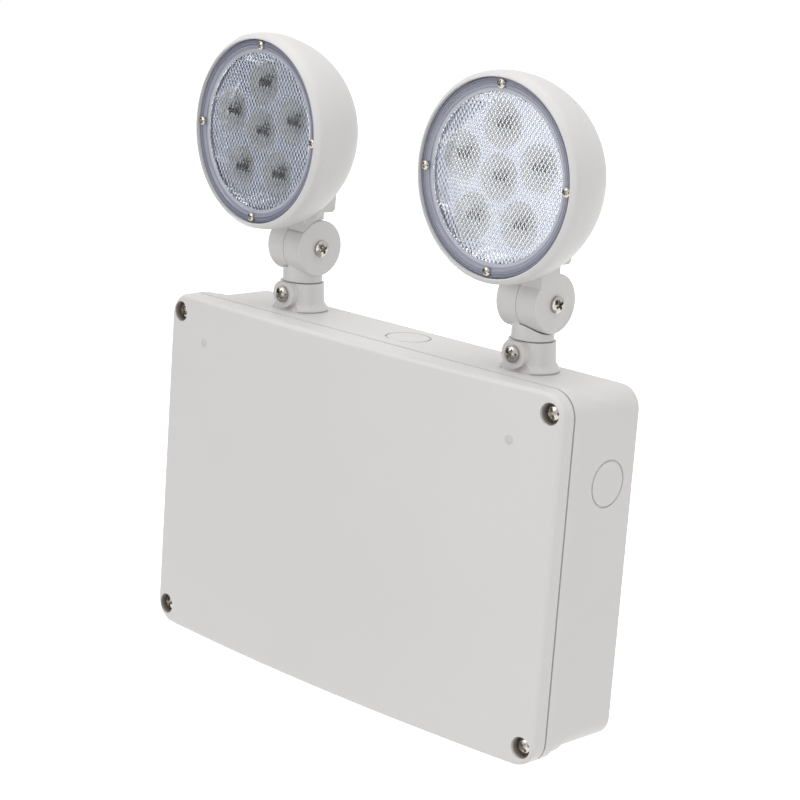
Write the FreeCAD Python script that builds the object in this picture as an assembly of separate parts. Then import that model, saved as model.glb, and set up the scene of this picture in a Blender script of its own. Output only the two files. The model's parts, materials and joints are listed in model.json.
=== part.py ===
import FreeCAD, Part
import math
import os

# Twin-head emergency light for a wall: a moulded box with a bowed front cover, and two round
# LED lamp heads on knuckles that swivel about a collar and tilt about a pivot screw.
# Millimetres. Origin at the middle of the box's back face, which lies on the wall (y = 0).
# +X to the right seen from the room, +Y into the wall, +Z up. The front faces -Y.

V = FreeCAD.Vector
X_AXIS = V(1, 0, 0)
Y_AXIS = V(0, 1, 0)
Z_AXIS = V(0, 0, 1)

# ---- box: half width, half height and corner radius of each outline, seen from the front ----
BODY = (125.9, 82.5, 10.5)
BAND = (126.7, 83.9, 11.2)
FLANGE = (127.5, 85.4, 12.0)
INNER = (123.1, 79.7, 7.7)
BACK_WALL = 3.0
BODY_FRONT = -33.0
BAND_FRONT = -41.0
FLANGE_FRONT = -46.9
BACK_EDGE = 1.0
BAND_CHAMFER = 0.6

# ---- cover ----
COVER_BACK = -47.9          # leaves a 1 mm joint line in front of the box flange
COVER_EDGE = -55.0          # front skin at the left and right ends
COVER_BOW = 6.0             # how far the middle stands in front of the ends
COVER_SKIN = 2.8
COVER_EDGE_R = 2.4
POCKET = (121.3, 77.9, 6.0)
TONGUE = (122.7, 79.3, 7.4)
TONGUE_DEPTH = 3.0
SEAL_OUTER = (126.2, 84.1, 10.7)
SEAL_INNER = (123.8, 81.7, 8.3)
SEAL_DEPTH = 1.6

# ---- cover screws, M4 pan head ----
SCREW_X = 120.0
SCREW_Z = 76.0
SCREW_HEAD_TOP = -54.0
SCREW_RECESS_R = 5.0
SCREW_BOSS_R = 6.5
SCREW_POST_R = 4.6
SCREW_POST_BACK = -22.0
PAN_R = 4.0
PAN_H = 2.6
M4_R = 2.0
M4_HOLE_R = 2.25
COVER_SCREW_TIP = -32.0

# ---- knockouts, half-inch trade size ----
ENTRY_Y = -18.5             # line of the knockouts and of the test button, from the wall
KNOCKOUT_R = 11.1
KNOCKOUT_GROOVE = 0.9
KNOCKOUT_DEPTH = 0.9
SIDE_KNOCKOUT_Z = 41.0

# ---- wall fixing ----
WALL_HOLE_X = 85.0
WALL_HOLE_Z = 50.0
WALL_HOLE_R = 2.75
WALL_PAD_R = 7.0
WALL_PAD_H = 2.0

# ---- knuckle ----
KNUCKLE_X = 75.0
KNUCKLE_Y = -17.4           # swivel axes, from the wall
BOX_TOP = BODY[1]
COLLAR_TOP = 96.3
COLLAR_TOP_R = 10.8
COLLAR_WAIST_R = 11.6
COLLAR_WAIST_Z = 86.6
COLLAR_FOOT_R = 13.7
COLLAR_FOOT_Z = 83.1
FOOT_GAP = 0.5              # undercut at the foot, where the seal ring sits
FOOT_GAP_R = 12.9
FLAT_TOP_Y = -8.6           # screwdriver flat in front, at the top and at the foot
FLAT_FOOT_Y = -10.2
STUB_R = 8.0
STUB_BOTTOM = 70.0
STUB_HOLE_R = 8.2
SPIGOT_R = 7.45
SPIGOT_BORE_R = 7.5
SPIGOT_BOTTOM = 76.0
LEAD_BORE_R = 3.2
LOCK_Z = 90.8
LOCK_BOSS_R = 6.8
LOCK_FACE = 12.6            # lock boss face, in front of the swivel axis
LOCK_GROOVE_R = 6.0
LOCK_TIP = 6.3
COLLAR_NUT_AF = 22.0
COLLAR_NUT_H = 5.0
POST_R = 9.8
SEAM = 0.5
PIVOT_Z = 114.3
DISC_R = 13.7
SADDLE_R = 14.3
DISC_OUT = 12.0
DISC_GAP = 0.15             # half the joint between the two discs
PIVOT_R = 2.5
PIVOT_HOLE_R = 2.55
PIVOT_NUT_AF = 8.0
PIVOT_NUT_H = 4.0
PIVOT_TIP = -10.5

# ---- lamp head, along its own axis: y counts from the swivel axis, the lens faces -Y ----
HEAD_Z = 170.7
RIM_FRONT = -36.3
RIM_R = 46.6
RIM_BELLY = -30.6           # where the bowl is widest
RIM_LIP_R = 44.2
RIM_ROLL_R = 46.1
RIM_ROLL_Y = -34.3
LENS_SEAT = -32.1
LENS_R = 43.3
LENS_POCKET_R = 43.6
SEAT_R = 41.1              # inner edge of the ledge under the lens
BOWL_BACK = 10.9
BOWL_WALL = 2.4
LENS_FRONT = -34.7
LENS_WINDOW_R = 37.2
LENS_WINDOW_FRONT = -33.5
LENS_WINDOW_BACK = -31.5
LENS_SCREW_PCR = 40.9
LENS_SCREW_R = 1.25
LENS_SCREW_HOLE_R = 1.45
LENS_SCREW_HEAD_R = 2.15
LENS_SCREW_HEAD_H = 1.3
LENS_SCREW_TIP = -23.6
LENS_BOSS_R = 3.4
LED_RING_R = 23.2
CUP_MOUTH_R = 10.6
CUP_THROAT_R = 3.4
REFLECTOR_R = 37.2
REFLECTOR_FRONT = -30.7
BOARD_FRONT = -22.6
BOARD_R = 35.0
BOARD_THICK = 1.6
LUG_BACK = 0.9              # stem of the lug, behind the pivot axis
LUG_FRONT = -11.4
PAD_BACK = 8.0
PAD_Z = 131.9
PAD_CHAMFER = 1.5
LEFT_AIM = -3.2             # the left head is turned this many degrees outwards

LED_PLACES = [(0.0, 0.0)] + [
    (LED_RING_R * math.sin(math.radians(72 * i)), LED_RING_R * math.cos(math.radians(72 * i)))
    for i in range(5)
]

# ---- electrics inside the box ----
CELL_R = 13.0
CELL_LENGTH = 50.0
CELL_COUNT = 5
BATTERY_X = 0.0
BATTERY_Z = -26.0
PCB_HALF_W = 50.0
PCB_HALF_H = 28.0
PCB_X = 15.0
PCB_Z = 34.0
PCB_BACK = -11.0
PCB_THICK = 1.6
STANDOFF_R = 3.2
BUTTON_X = 14.0
INDICATOR_X = -14.0
BUTTON_R = 5.0
BEZEL_BORE_R = 5.06
BEZEL_R = 8.5
BEZEL_TUBE_R = 7.0


def slab(outline, y_front, y_back):
    """Rounded rectangle seen from the front, extruded from y_front to y_back."""
    half_w, half_h, radius = outline
    box = Part.makeBox(2 * half_w, y_back - y_front, 2 * half_h, V(-half_w, y_front, -half_h))
    edges = [e for e in box.Edges if abs(e.tangentAt(e.FirstParameter).y) > 0.5]
    return box.makeFillet(radius, edges)


def rod(radius, start, direction, length):
    """Cylinder from a point along a direction."""
    return Part.makeCylinder(radius, length, start, direction)


def tube(outer, inner, start, direction, length):
    """Ring or pipe."""
    bore = rod(inner, start - direction, direction, length + 2)
    return rod(outer, start, direction, length).cut(bore)


def block(x0, x1, y0, y1, z0, z1):
    """Box between two corners."""
    return Part.makeBox(x1 - x0, y1 - y0, z1 - z0, V(x0, y0, z0))


def hexagon(across_flats, start, direction, length):
    """Hexagonal prism, two flats square to Y."""
    radius = across_flats / math.sqrt(3)
    wire_points = []
    side = X_AXIS if abs(direction.z) > 0.5 else Z_AXIS
    other = direction.cross(side)
    for i in range(7):
        angle = math.radians(60 * i)
        wire_points.append(start + side * (radius * math.cos(angle)) + other * (radius * math.sin(angle)))
    return Part.Face(Part.makePolygon(wire_points)).extrude(direction * length)


def revolve(points, centre, direction):
    """Turned solid from (radius, height) points along a direction. A third value is an arc's middle."""
    side = X_AXIS if abs(direction.z) > 0.5 else Z_AXIS
    place = lambda p: centre + side * p[0] + direction * p[1]
    edges = []
    for start, end in zip(points, points[1:] + points[:1]):
        if len(end) == 3:
            edges.append(Part.Arc(place(start), place(end[2]), place(end)).toShape())
        else:
            edges.append(Part.LineSegment(place(start), place(end)).toShape())
    return Part.Face(Part.Wire(edges)).revolve(centre, direction, 360)


def fuse(shapes):
    """One solid from several that meet."""
    return shapes[0].multiFuse(shapes[1:]).removeSplitter()


def corners(x, z):
    """The four places of a rectangular pattern."""
    return [(sx * x, sz * z) for sx in (-1, 1) for sz in (-1, 1)]


def pan_screw(head_base, direction, head_r, head_h, shank_r, shank_length):
    """Pan head on its seat, with a plain shank running against the direction."""
    return revolve([
        (0.0, -shank_length), (shank_r, -shank_length), (shank_r, 0.0), (head_r, 0.0),
        (head_r, head_h * 0.5), (head_r * 0.6, head_h), (0.0, head_h)], head_base, direction)


# ---------------------------------------------------------------- box

def knockout_groove(centre, direction):
    """Ring groove round a knockout, cut inwards from a face."""
    inner = KNOCKOUT_R - KNOCKOUT_GROOVE
    return tube(KNOCKOUT_R, inner, centre, direction, KNOCKOUT_DEPTH)


def back_box():
    shell = fuse([
        slab(BODY, BODY_FRONT, 0.0),
        slab(BAND, BAND_FRONT, BODY_FRONT),
        slab(FLANGE, FLANGE_FRONT, BAND_FRONT),
    ])
    back_edges = [e for e in shell.Edges if e.BoundBox.YMin > -0.01]
    shell = shell.makeChamfer(BACK_EDGE, back_edges)
    band_edges = [e for e in shell.Edges if abs(e.BoundBox.YMin - BODY_FRONT) < 0.01
                  and abs(e.BoundBox.YMax - BODY_FRONT) < 0.01 and e.CenterOfMass.Length > 10
                  and max(abs(e.BoundBox.XMax), abs(e.BoundBox.XMin)) > BAND[0] - 12
                  and is_on_outline(e, BAND)]
    shell = shell.makeChamfer(BAND_CHAMFER, band_edges)
    shell = shell.cut(slab(INNER, FLANGE_FRONT - 1, -BACK_WALL))
    shell = fuse([shell] + screw_posts() + wall_pads() + standoffs())
    holes = [rod(M4_R + 0.05, V(x, FLANGE_FRONT - 1, z), Y_AXIS, -1 - FLANGE_FRONT + COVER_SCREW_TIP + 2)
             for x, z in corners(SCREW_X, SCREW_Z)]
    holes += [rod(WALL_HOLE_R, V(x, -20, z), Y_AXIS, 30) for x, z in corners(WALL_HOLE_X, WALL_HOLE_Z)]
    holes += [rod(STUB_HOLE_R, V(side * KNUCKLE_X, KNUCKLE_Y, BOX_TOP - 10), Z_AXIS, 20) for side in (-1, 1)]
    holes += [rod(BEZEL_TUBE_R + 0.1, V(BUTTON_X, ENTRY_Y, -BOX_TOP - 5), Z_AXIS, 15)]
    holes += [rod(2.6, V(INDICATOR_X, ENTRY_Y, -BOX_TOP - 5), Z_AXIS, 15)]
    holes += [rod(1.3, V(x, PCB_BACK - 1, z), Y_AXIS, 8) for x, z in board_fixings()]
    holes += [rod(1.55, V(x, -13, BATTERY_Z), Y_AXIS, 10) for x in clamp_fixings()]
    holes += [
        knockout_groove(V(BODY[0] - KNOCKOUT_DEPTH, ENTRY_Y, SIDE_KNOCKOUT_Z), X_AXIS),
        knockout_groove(V(-BODY[0], ENTRY_Y, SIDE_KNOCKOUT_Z), X_AXIS),
        knockout_groove(V(0, ENTRY_Y, BOX_TOP - KNOCKOUT_DEPTH), Z_AXIS),
        knockout_groove(V(0, -KNOCKOUT_DEPTH, 0), Y_AXIS),
    ]
    return shell.cut(holes)


def is_on_outline(edge, outline):
    """True where an edge lies on the outer boundary of a rounded rectangle."""
    half_w, half_h, radius = outline
    point = edge.valueAt((edge.FirstParameter + edge.LastParameter) / 2)
    dx = abs(point.x) - (half_w - radius)
    dz = abs(point.z) - (half_h - radius)
    if dx > 0 and dz > 0:
        return abs(math.hypot(dx, dz) - radius) < 0.2
    return abs(dx - radius) < 0.2 or abs(dz - radius) < 0.2


def screw_posts():
    return [rod(SCREW_POST_R, V(x, FLANGE_FRONT, z), Y_AXIS, SCREW_POST_BACK - FLANGE_FRONT)
            for x, z in corners(SCREW_X, SCREW_Z)]


def wall_pads():
    return [rod(WALL_PAD_R, V(x, -BACK_WALL - WALL_PAD_H, z), Y_AXIS, WALL_PAD_H + 1)
            for x, z in corners(WALL_HOLE_X, WALL_HOLE_Z)]


def board_fixings():
    return [(PCB_X + sx * (PCB_HALF_W - 5), PCB_Z + sz * (PCB_HALF_H - 5)) for sx in (-1, 1) for sz in (-1, 1)]


def clamp_fixings():
    reach = CELL_COUNT * CELL_R + 8
    return [BATTERY_X - reach, BATTERY_X + reach]


def standoffs():
    boards = [rod(STANDOFF_R, V(x, PCB_BACK, z), Y_AXIS, -PCB_BACK - 2) for x, z in board_fixings()]
    clamps = [rod(5.0, V(x, -12, BATTERY_Z), Y_AXIS, 10) for x in clamp_fixings()]
    return boards + clamps


def bowed_prism(half_width, half_height, offset, y_back):
    """Plan shape with the bowed front, extruded over the height."""
    ends = COVER_EDGE + offset
    middle = V(0, COVER_EDGE - COVER_BOW + offset, -half_height)
    left = V(-half_width, ends, -half_height)
    right = V(half_width, ends, -half_height)
    back_right = V(half_width, y_back, -half_height)
    back_left = V(-half_width, y_back, -half_height)
    front = Part.Arc(left, middle, right).toShape()
    sides = [Part.LineSegment(a, b).toShape() for a, b in
             ((right, back_right), (back_right, back_left), (back_left, left))]
    return Part.Face(Part.Wire([front] + sides)).extrude(V(0, 0, 2 * half_height))


def front_cover():
    skin = bowed_prism(FLANGE[0], FLANGE[1], 0.0, COVER_BACK)
    skin = skin.common(slab(FLANGE, COVER_EDGE - 20, COVER_BACK))
    rim = [e for e in skin.Edges if e.BoundBox.YMax < COVER_BACK - 1 and e.BoundBox.YMin < COVER_EDGE + 1
           and not is_depth_edge(e)]
    skin = skin.makeFillet(COVER_EDGE_R, rim)
    pocket = bowed_prism(FLANGE[0], FLANGE[1], COVER_SKIN, COVER_BACK + 1)
    pocket = pocket.common(slab(POCKET, COVER_EDGE - 20, COVER_BACK + 1))
    cover = skin.cut(pocket)
    bosses = [rod(SCREW_BOSS_R, V(x, SCREW_HEAD_TOP, z), Y_AXIS, COVER_BACK - SCREW_HEAD_TOP)
              for x, z in corners(SCREW_X, SCREW_Z)]
    tongue = slab(TONGUE, COVER_BACK - 1, COVER_BACK + TONGUE_DEPTH)
    tongue = tongue.cut(slab(POCKET, COVER_BACK - 2, COVER_BACK + TONGUE_DEPTH + 1))
    tongue = tongue.cut([rod(SCREW_POST_R + 0.6, V(x, COVER_BACK, z), Y_AXIS, 10)
                         for x, z in corners(SCREW_X, SCREW_Z)])
    cover = fuse([cover, tongue] + bosses)
    cuts = [rod(SCREW_RECESS_R, V(x, COVER_EDGE - 20, z), Y_AXIS, SCREW_HEAD_TOP + PAN_H - COVER_EDGE + 20)
            for x, z in corners(SCREW_X, SCREW_Z)]
    cuts += [rod(M4_HOLE_R, V(x, COVER_EDGE, z), Y_AXIS, 10) for x, z in corners(SCREW_X, SCREW_Z)]
    channel = slab(SEAL_OUTER, COVER_BACK - SEAL_DEPTH, COVER_BACK + 1)
    channel = channel.cut(slab(SEAL_INNER, COVER_BACK - SEAL_DEPTH - 1, COVER_BACK + 2))
    return cover.cut(cuts + [channel])


def is_depth_edge(edge):
    """True for a straight edge that runs from front to back."""
    return abs(edge.tangentAt(edge.FirstParameter).y) > 0.9


def cover_gasket():
    ring = slab(SEAL_OUTER, COVER_BACK - SEAL_DEPTH, FLANGE_FRONT)
    return ring.cut(slab(SEAL_INNER, COVER_BACK - SEAL_DEPTH - 1, FLANGE_FRONT + 1))


def cover_screws():
    seat = SCREW_HEAD_TOP + PAN_H
    return Part.makeCompound([
        pan_screw(V(x, seat, z), -Y_AXIS, PAN_R, PAN_H, M4_R, COVER_SCREW_TIP - seat)
        for x, z in corners(SCREW_X, SCREW_Z)])


# ---------------------------------------------------------------- electrics

def battery_pack():
    cells = []
    for i in range(CELL_COUNT):
        x = BATTERY_X + (i - (CELL_COUNT - 1) / 2) * 2 * CELL_R
        cells.append(rod(CELL_R, V(x, -BACK_WALL - CELL_R, BATTERY_Z - CELL_LENGTH / 2), Z_AXIS, CELL_LENGTH))
    half = (CELL_COUNT - 1) * CELL_R
    cells.append(block(BATTERY_X - half, BATTERY_X + half, -BACK_WALL - 1.5 * CELL_R, -BACK_WALL - 0.5 * CELL_R,
                       BATTERY_Z - CELL_LENGTH / 2, BATTERY_Z + CELL_LENGTH / 2))
    return fuse(cells)


def battery_clamp():
    """Bent strap over the pack, with a foot at each end."""
    top = -BACK_WALL - 2 * CELL_R - 0.3
    half = CELL_COUNT * CELL_R + 0.4
    low, high = BATTERY_Z - 7, BATTERY_Z + 7
    foot = half + 13
    strap = fuse([
        block(BATTERY_X - half - 1.2, BATTERY_X + half + 1.2, top - 1.2, top, low, high),
        block(BATTERY_X - half - 1.2, BATTERY_X - half, top - 1.2, -12, low, high),
        block(BATTERY_X + half, BATTERY_X + half + 1.2, top - 1.2, -12, low, high),
        block(BATTERY_X - foot, BATTERY_X - half, -13.2, -12, low, high),
        block(BATTERY_X + half, BATTERY_X + foot, -13.2, -12, low, high),
    ])
    return strap.cut([rod(1.7, V(x, -20, BATTERY_Z), Y_AXIS, 10) for x in clamp_fixings()])


def clamp_screws():
    return Part.makeCompound([pan_screw(V(x, -13.2, BATTERY_Z), -Y_AXIS, 3.0, 2.0, 1.5, 8.0)
                              for x in clamp_fixings()])


def control_board():
    board = block(PCB_X - PCB_HALF_W, PCB_X + PCB_HALF_W, PCB_BACK - PCB_THICK, PCB_BACK,
                  PCB_Z - PCB_HALF_H, PCB_Z + PCB_HALF_H)
    return board.cut([rod(1.6, V(x, PCB_BACK - 5, z), Y_AXIS, 10) for x, z in board_fixings()])


def board_screws():
    seat = PCB_BACK - PCB_THICK
    return Part.makeCompound([pan_screw(V(x, seat, z), -Y_AXIS, 2.6, 1.8, 1.25, 7.0)
                              for x, z in board_fixings()])


def transformer():
    """Mains transformer on the board: laminated core round a moulded bobbin."""
    y = PCB_BACK - PCB_THICK
    core = block(PCB_X + 12, PCB_X + 46, y - 24, y - 4, PCB_Z - 14, PCB_Z + 14)
    bobbin = block(PCB_X + 17, PCB_X + 41, y - 28, y, PCB_Z - 10, PCB_Z + 10)
    return fuse([core, bobbin])


def terminal_block():
    """Three-way mains terminal with a wire entry and a screw well at each pole."""
    y = PCB_BACK - PCB_THICK
    x0, z0 = PCB_X - 40, PCB_Z - 22
    body = block(x0, x0 + 30, y - 12, y, z0, z0 + 12)
    cuts = []
    for i in range(3):
        cuts.append(block(x0 + 2 + 10 * i, x0 + 8 + 10 * i, y - 8, y - 3, z0 - 1, z0 + 6))
        cuts.append(rod(2.2, V(x0 + 5 + 10 * i, y - 13, z0 + 6), Y_AXIS, 4))
    return body.cut(cuts)


def test_bezel():
    """Threaded bushing that the push button runs in."""
    bottom = -BOX_TOP
    ring = rod(BEZEL_R, V(BUTTON_X, ENTRY_Y, bottom - 2), Z_AXIS, 2)
    bush = rod(BEZEL_TUBE_R, V(BUTTON_X, ENTRY_Y, bottom - 1), Z_AXIS, 13)
    return fuse([ring, bush]).cut(rod(BEZEL_BORE_R, V(BUTTON_X, ENTRY_Y, bottom - 5), Z_AXIS, 20))


def bezel_nut():
    inner_face = -INNER[1]
    nut = hexagon(19.0, V(BUTTON_X, ENTRY_Y, inner_face), Z_AXIS, 3)
    return nut.cut(rod(BEZEL_TUBE_R, V(BUTTON_X, ENTRY_Y, inner_face - 1), Z_AXIS, 6))


def test_button():
    """Push button that runs in the bushing."""
    bottom = -BOX_TOP - 4.6
    return revolve([(0.0, 0.0), (BUTTON_R - 0.8, 0.0), (BUTTON_R, 0.8), (BUTTON_R, 14.0), (0.0, 14.0)],
                   V(BUTTON_X, ENTRY_Y, bottom), Z_AXIS)


def test_switch():
    """Push switch behind the button, clipped over the bushing's end."""
    top = -BOX_TOP + 12
    body = block(BUTTON_X - 8, BUTTON_X + 8, ENTRY_Y - 8, ENTRY_Y + 8, top, top + 12)
    pins = [block(BUTTON_X + dx - 0.6, BUTTON_X + dx + 0.6, ENTRY_Y - 2, ENTRY_Y + 2, top + 11, top + 17)
            for dx in (-4, 4)]
    return fuse([body] + pins)


def charge_indicator():
    """Small lens of the charge lamp."""
    bottom = -BOX_TOP
    return revolve([(0.0, -1.8), (1.6, -1.8), (3.2, -0.6), (3.2, 0.0), (2.5, 0.0), (2.5, 8.0), (0.0, 8.0)],
                   V(INDICATOR_X, ENTRY_Y, bottom), Z_AXIS)


# ---------------------------------------------------------------- knuckle, on the swivel axis

def swivel_collar():
    """Flared hub on the box top, with a threaded stub through the wall and a lock boss on its front flat."""
    body = revolve([
        (0.0, STUB_BOTTOM), (STUB_R, STUB_BOTTOM), (STUB_R, BOX_TOP), (FOOT_GAP_R, BOX_TOP),
        (FOOT_GAP_R, BOX_TOP + FOOT_GAP), (COLLAR_FOOT_R, BOX_TOP + FOOT_GAP), (COLLAR_FOOT_R, COLLAR_FOOT_Z + FOOT_GAP), (COLLAR_WAIST_R, COLLAR_WAIST_Z),
        (COLLAR_TOP_R, COLLAR_TOP), (0.0, COLLAR_TOP)], V(0, 0, 0), Z_AXIS)
    section = Part.makePolygon([
        V(-20, FLAT_FOOT_Y, BOX_TOP), V(-20, FLAT_TOP_Y, COLLAR_TOP), V(-20, -20, COLLAR_TOP),
        V(-20, -20, BOX_TOP), V(-20, FLAT_FOOT_Y, BOX_TOP)])
    body = body.cut(Part.Face(section).extrude(V(40, 0, 0)))
    boss = rod(LOCK_BOSS_R, V(0, 0, LOCK_Z), -Y_AXIS, LOCK_FACE)
    boss = boss.cut(block(-20, 20, -20, 20, COLLAR_TOP, COLLAR_TOP + 20))
    body = fuse([body, boss])
    return body.cut([
        rod(SPIGOT_BORE_R, V(0, 0, SPIGOT_BOTTOM), Z_AXIS, 40),
        rod(LEAD_BORE_R, V(0, 0, STUB_BOTTOM - 1), Z_AXIS, 20),
        rod(M4_R + 0.05, V(0, 0, LOCK_Z), -Y_AXIS, 30),
    ])


def collar_nut():
    nut = hexagon(COLLAR_NUT_AF, V(0, 0, INNER[1] - COLLAR_NUT_H), Z_AXIS, COLLAR_NUT_H)
    return nut.cut(rod(STUB_R, V(0, 0, INNER[1] - 20), Z_AXIS, 30))


def lock_screw():
    return pan_screw(V(0, -LOCK_FACE, LOCK_Z), -Y_AXIS, PAN_R, PAN_H, M4_R, LOCK_FACE - LOCK_TIP)


def saddle(x0, x1):
    """Clearance round a pivot disc between two places across the knuckle."""
    return rod(SADDLE_R, V(x0, 0, PIVOT_Z), X_AXIS, x1 - x0)


def disc(x0, x1):
    """Pivot disc with its outer edge broken."""
    body = rod(DISC_R, V(x0, 0, PIVOT_Z), X_AXIS, x1 - x0)
    outside = x0 if abs(x0) > abs(x1) else x1
    edges = [e for e in body.Edges if abs(e.BoundBox.XMin - outside) < 0.01 and abs(e.BoundBox.XMax - outside) < 0.01]
    return body.makeChamfer(0.6, edges)


def pivot_cuts(side):
    """Pivot hole, and the nut's pocket in the left disc if that disc is on this side."""
    cuts = [rod(PIVOT_HOLE_R, V(-30, 0, PIVOT_Z), X_AXIS, 60)]
    if side < 0:
        depth = PIVOT_NUT_H + 0.4
        cuts.append(hexagon(PIVOT_NUT_AF + 0.2, V(-DISC_OUT - 1, 0, PIVOT_Z), X_AXIS, depth + 1))
    return cuts


def swivel_neck(side):
    """Post in the collar that ends in the pivot disc of one side and a saddle under the other."""
    base = COLLAR_TOP + SEAM
    spigot = rod(SPIGOT_R, V(0, 0, SPIGOT_BOTTOM + 0.5), Z_AXIS, base - SPIGOT_BOTTOM)
    spigot = spigot.cut(tube(SPIGOT_R + 1, LOCK_GROOVE_R, V(0, 0, LOCK_Z - 2.6), Z_AXIS, 5.2))
    post = rod(POST_R, V(0, 0, base), Z_AXIS, PIVOT_Z - base)
    clear = saddle(-20, DISC_GAP) if side > 0 else saddle(-DISC_GAP, 20)
    post = post.cut(clear)
    own = disc(DISC_GAP, DISC_OUT) if side > 0 else disc(-DISC_OUT, -DISC_GAP)
    neck = fuse([spigot, post, own])
    bore = rod(LEAD_BORE_R, V(0, 0, SPIGOT_BOTTOM), Z_AXIS, 24)
    return neck.cut([bore] + pivot_cuts(side))


def pivot_screw():
    return pan_screw(V(DISC_OUT, 0, PIVOT_Z), X_AXIS, PAN_R, PAN_H, PIVOT_R, DISC_OUT - PIVOT_TIP)


def pivot_nut():
    start = V(-DISC_OUT + 0.4, 0, PIVOT_Z)
    nut = hexagon(PIVOT_NUT_AF, start, X_AXIS, PIVOT_NUT_H)
    return nut.cut(rod(PIVOT_HOLE_R, start - X_AXIS, X_AXIS, PIVOT_NUT_H + 2))


# ---------------------------------------------------------------- lamp head, on the swivel axis

def head_point(radius, angle_deg, y):
    """Place on the head at a radius and a clock angle from the top, turning to +X."""
    angle = math.radians(angle_deg)
    return V(radius * math.sin(angle), y, HEAD_Z + radius * math.cos(angle))


def bowl(inset, steps):
    """Section of the bowl behind its belly: a quarter of an ellipse, drawn in by a wall thickness."""
    radius = RIM_R - inset
    depth = BOWL_BACK - RIM_BELLY - inset
    angles = [math.radians(90 * i / steps) for i in range(steps)]
    return [(radius * math.cos(a), RIM_BELLY + depth * math.sin(a)) for a in angles] + [(0.0, RIM_BELLY + depth)]


def lamp_shell(side):
    """Bowl with its rolled rim, lens seat and bosses, and the lug that carries one pivot disc."""
    centre = V(0, 0, HEAD_Z)
    outside = revolve([(0.0, RIM_FRONT), (RIM_LIP_R, RIM_FRONT), (RIM_ROLL_R, RIM_ROLL_Y)] + bowl(0.0, 7),
                      centre, Y_AXIS)
    hollow = revolve([
        (0.0, RIM_FRONT - 1), (LENS_POCKET_R, RIM_FRONT - 1), (LENS_POCKET_R, LENS_SEAT), (SEAT_R, LENS_SEAT),
        (SEAT_R, RIM_BELLY + 2.0)] + bowl(BOWL_WALL, 4)[1:], centre, Y_AXIS)
    stem = block(-DISC_OUT, DISC_OUT, LUG_FRONT, LUG_BACK, PIVOT_Z, HEAD_Z - 15)
    pad = block(-DISC_OUT, DISC_OUT, LUG_FRONT - 6, PAD_BACK, PAD_Z, HEAD_Z - 15)
    low_edge = [e for e in pad.Edges if abs(e.CenterOfMass.y - PAD_BACK) < 0.01 and abs(e.CenterOfMass.z - PAD_Z) < 0.01]
    pad = pad.makeChamfer(PAD_CHAMFER, low_edge)
    if side > 0:
        own = disc(-DISC_OUT, -DISC_GAP)
        own_half = block(-DISC_OUT, -DISC_GAP, -20, 20, PIVOT_Z, HEAD_Z)
        clear = saddle(-DISC_GAP, 20)
    else:
        own = disc(DISC_GAP, DISC_OUT)
        own_half = block(DISC_GAP, DISC_OUT, -20, 20, PIVOT_Z, HEAD_Z)
        clear = saddle(-20, DISC_GAP)
    upper = block(-20, 20, -20, 20, PIVOT_Z + DISC_R / 2, HEAD_Z)
    stem = stem.common(own_half.fuse(upper)).cut(clear)
    bosses = [rod(LENS_BOSS_R, head_point(LENS_SCREW_PCR, a, LENS_SEAT), Y_AXIS, 9) for a in range(0, 360, 90)]
    body = fuse([outside, stem, pad, own]).cut(hollow)
    body = fuse([body] + [b.common(outside) for b in bosses])
    cuts = [rod(LENS_SCREW_R + 0.05, head_point(LENS_SCREW_PCR, a, LENS_SEAT - 1), Y_AXIS,
                LENS_SCREW_TIP - LENS_SEAT + 1.3) for a in range(0, 360, 90)]
    return body.cut(cuts + pivot_cuts(-side))


def lens():
    """Clear cover: a flat flange, a step, and the set-back window."""
    centre = V(0, 0, HEAD_Z)
    body = revolve([
        (0.0, LENS_WINDOW_FRONT), (LENS_WINDOW_R, LENS_WINDOW_FRONT), (LENS_WINDOW_R + 0.5, LENS_FRONT),
        (LENS_R, LENS_FRONT), (LENS_R, LENS_SEAT), (LENS_WINDOW_R, LENS_SEAT),
        (LENS_WINDOW_R, LENS_WINDOW_BACK), (0.0, LENS_WINDOW_BACK)], centre, Y_AXIS)
    return body.cut([rod(LENS_SCREW_HOLE_R, head_point(LENS_SCREW_PCR, a, LENS_FRONT - 1), Y_AXIS, 6)
                     for a in range(0, 360, 90)])


def lens_screws():
    return Part.makeCompound([
        pan_screw(head_point(LENS_SCREW_PCR, a, LENS_FRONT), -Y_AXIS, LENS_SCREW_HEAD_R, LENS_SCREW_HEAD_H,
                  LENS_SCREW_R, LENS_SCREW_TIP - LENS_FRONT) for a in range(0, 360, 90)])


def reflector():
    """Moulded block with six cups that open towards the lens."""
    length = BOARD_FRONT - REFLECTOR_FRONT
    body = rod(REFLECTOR_R, V(0, REFLECTOR_FRONT, HEAD_Z), Y_AXIS, length)
    return body.cut([Part.makeCone(CUP_MOUTH_R, CUP_THROAT_R, length, V(x, REFLECTOR_FRONT, HEAD_Z + z), Y_AXIS)
                     for x, z in LED_PLACES])


def led_board():
    return rod(BOARD_R, V(0, BOARD_FRONT, HEAD_Z), Y_AXIS, BOARD_THICK)


def leds():
    chips = []
    for x, z in LED_PLACES:
        base = block(x - 1.7, x + 1.7, BOARD_FRONT - 0.8, BOARD_FRONT, HEAD_Z + z - 1.7, HEAD_Z + z + 1.7)
        emitter = rod(1.3, V(x, BOARD_FRONT - 0.8, HEAD_Z + z), -Y_AXIS, 0.4)
        chips.append(base.fuse(emitter))
    return Part.makeCompound(chips)


# ---------------------------------------------------------------- assembly

def placed(shape, side):
    """Turn a head's part to its aim and set it on its knuckle."""
    moved = shape.copy()
    if side < 0:
        moved.rotate(V(0, 0, 0), Z_AXIS, LEFT_AIM)
    moved.translate(V(side * KNUCKLE_X, KNUCKLE_Y, 0))
    return moved


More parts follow.
